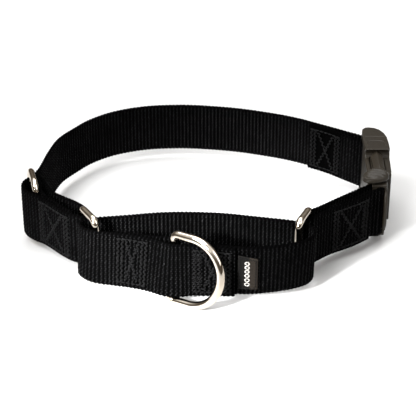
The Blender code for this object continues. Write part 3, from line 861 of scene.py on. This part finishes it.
# ---- wires --------------------------------------------------------------------------------------
slide = upright_ring("slide_wire", SLIDE_FAR_BAR, SLIDE_NEAR_BAR, SLIDE_WIRE, SLIDE_CORNER)
left_ring = upright_ring("left_ring_wire", LEFT_RING_STRAP_BAR, LEFT_RING_LOOP_BAR,
                         RING_WIRE, RING_CORNER)
right_ring = upright_ring("right_ring_wire", RIGHT_RING_STRAP_BAR, RIGHT_RING_LOOP_BAR,
                          RING_WIRE, RING_CORNER)
d_ring = tube("d_ring_wire", d_ring_points(), D_RING_WIRE / 2 * MM, NICKEL)

bar_low, bar_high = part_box("slide_centre_bar")
bar_middle = [(a + b) / 2 for a, b in zip(bar_low, bar_high)]
bar_reach = (bar_high[2] - bar_low[2]) / 2
slide_bar = tube("slide_bar", [(bar_middle[0], bar_middle[1], bar_middle[2] + bar_reach * t)
                               for t in np.linspace(-1, 1, 40)],
                 SLIDE_WIRE / 2 * MM, NICKEL, closed=False)

for piece, cad_node, body in ((slide, "slide_frame", "adjuster"),
                              (left_ring, "ring_left", "left_ring"),
                              (right_ring, "ring_right", "right_ring"),
                              (d_ring, "d_ring", "d_ring"),
                              (slide_bar, "slide_centre_bar", "adjuster")):
    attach(piece, body)
    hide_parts(cad_node)

# ---- buckle -------------------------------------------------------------------------------------
for name, cad_node, body, shape in (
        ("buckle_body", "buckle_socket", "neck", None),
        ("buckle_tongue", "buckle_plug", "plug", rounded_plate),
        ("buckle_top_prong", "prong_top", "top_prong", None),
        ("buckle_bottom_prong", "prong_bottom", "bottom_prong", shorter_pad)):
    piece = soft_edged(name, cad_node, shape)
    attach(piece, body)
    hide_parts(cad_node)
top_pad = thumb_pad("buckle_top_pad")
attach(top_pad, "top_prong")

# The rim round the window on each broad side, the seam of the end cap, and the prong's pointed tip
arch = [(76.9, 30.2, 0), (76.9, 32.0, 0), *arc((79.5, 33.4), 2.6, 180, 90, 6), (81.4, 36.0, 0),
        *arc((83.0, 33.4), 2.6, 90, 0, 6), (85.6, 32.0, 0), (85.6, 30.2, 0)]
for name, side, body in (("buckle_upper", 1, "top_prong"), ("buckle_lower", -1, "bottom_prong")):
    height = side * HALF_HEIGHT - side * RIM_SINK
    rim = tube(f"{name}_rim", [at(x, y, height) for x, y, _ in smooth(arch, 0.4)],
               0.60 * MM, PLASTIC, closed=False)
    seam = tube(f"{name}_seam", [at(x, 40.5, height) for x in np.linspace(76.6, 86.0, 30)],
                0.55 * MM, PLASTIC, closed=False)
    for piece in (rim, seam):
        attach(piece, "neck")
    tip = pointed_tip(f"{name}_tip", side)
    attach(tip, body)

# ---- stitching and tag --------------------------------------------------------------------------
# Each box of stitches lies on a stretch of a strip's route, between two plan x
seams = (
    ("neck_stitching", "neck_buckle_stitch", neck_strap_route()[-4:], 66.0, 52.0, "neck"),
    ("adjuster_stitching", "adjuster_stitch", adjuster_loop_route()[19:31], -62.5, -77.6,
     "adjuster"),
    ("buckle_strap_stitching", "buckle_strap_stitch", buckle_strap_route()[:5], 73.5, 56.5,
     "strap"),
    ("loop_stitching_right", "loop_stitch_right", loop_front(), 10.4, -6.5, "loop"),
    ("loop_stitching_left", "loop_stitch_left", loop_front(), -26.6, -40.5, "loop"),
)
for name, cad_node, layer, start, end, body in seams:
    spot, length_at = on_layer(layer)
    piece = threads(name, spot, box_pattern(length_at(start), length_at(end)), THREAD)
    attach(piece, body)
    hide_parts(cad_node)

tag = woven_tag("woven_tag")
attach(tag, "loop")
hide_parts("label")


def on_tag(u, v, rise):
    """spot() for threads on the tag."""
    return label_spot(u, v, LABEL_FACE + rise)


half_tag, tall_tag = LABEL_WIDTH / 2 - LABEL_SEAM, LABEL_HEIGHT / 2 - LABEL_SEAM
corners = [(-half_tag, -tall_tag), (half_tag, -tall_tag), (half_tag, tall_tag),
           (-half_tag, tall_tag)]
tag_seam = threads("tag_stitching", on_tag, list(zip(corners, corners[1:] + corners[:1])), THREAD,
                   length=1.7, radius=0.17, lift=0.16)
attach(tag_seam, "loop")
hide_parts("label_stitch")

# A column of woven diamonds, which spell nothing
diamonds = []
for v in np.linspace(-6.0, 5.6, 6):
    for peak in (v + 1.05, v - 1.05):
        diamonds += [((-1.5, v), (-0.3, peak)), ((-0.3, peak), (0.9, v))]
tag_marks = threads("tag_marks", on_tag, diamonds, MARKS, length=1.6, radius=0.28, lift=0.14)
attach(tag_marks, "loop")

# ---- floor, light and camera --------------------------------------------------------------------
floor_data = bpy.data.meshes.new("floor")
floor_data.from_pydata([(-3, -3, 0), (3, -3, 0), (3, 3, 0), (-3, 3, 0)], [], [(0, 1, 2, 3)])
floor = bpy.data.objects.new("floor", floor_data)
bpy.context.scene.collection.objects.link(floor)
floor_finish, _, floor_surface = new_material("floor")
floor_surface.inputs["Base Color"].default_value = (0.50, 0.50, 0.50, 1)
floor_surface.inputs["Roughness"].default_value = 0.9
floor_data.materials.append(floor_finish)

# A studio sky: dim and warm at the horizon for the wires to reflect, and white overhead
world = bpy.data.worlds.new("studio")
bpy.context.scene.world = world
world.use_nodes = True
sky = world.node_tree
sky_place = sky.nodes.new("ShaderNodeTexCoord")
sky_parts = sky.nodes.new("ShaderNodeSeparateXYZ")
sky.links.new(sky_place.outputs["Generated"], sky_parts.inputs[0])
sky_light = ramp(sky, sky_parts.outputs[2], [
    (0.0, (0.95, 0.95, 0.95)), (0.05, (0.08, 0.065, 0.05)), (0.45, (0.14, 0.12, 0.10)),
    (0.62, (0.38, 0.36, 0.33)), (0.80, (1.0, 0.99, 0.97))])
sky.links.new(sky_light, sky.nodes["Background"].inputs[0])
sky.nodes["Background"].inputs[1].default_value = 1.0
bpy.context.scene.view_settings.view_transform = "Standard"


def add_lamp(lamp, place, target):
    """Hangs a lamp at one point and aims it at another, both in metres."""
    made = bpy.data.objects.new(lamp.name, lamp)
    made.location = place
    made.rotation_euler = (Vector(target) - Vector(place)).to_track_quat("-Z", "Y").to_euler()
    bpy.context.scene.collection.objects.link(made)


for name, place, size, power in (("key", (-0.45, -0.40, 0.9), 0.45, 12.0),
                                 ("fill", (0.7, -0.3, 0.6), 0.6, 3.0),
                                 ("top", (0, 0.3, 1.0), 0.7, 11.0)):
    lamp = bpy.data.lights.new(name, "AREA")
    lamp.size = size
    lamp.energy = power
    add_lamp(lamp, place, (0, 0, 0.02))

# A soft spot rakes the front left, so that the ribs and stitches there stand out
rake = bpy.data.lights.new("rake", "SPOT")
rake.energy = 54.0
rake.spot_size = math.radians(17)
rake.spot_blend = 1.0
rake.shadow_soft_size = 0.03
add_lamp(rake, (-0.30, -0.42, 0.26), (-0.028, -0.060, 0.016))

CAMERA_DISTANCE, CAMERA_PITCH = 700.0, math.radians(30)
camera_data = bpy.data.cameras.new("camera")
camera_data.sensor_width = 36
camera_data.lens = 129.0
camera = bpy.data.objects.new("camera", camera_data)
camera.location = at(0, -CAMERA_DISTANCE * math.cos(CAMERA_PITCH),
                     CAMERA_DISTANCE * math.sin(CAMERA_PITCH))
camera.rotation_euler = (math.pi / 2 - CAMERA_PITCH, 0, 0)
bpy.context.scene.collection.objects.link(camera)
bpy.context.scene.camera = camera
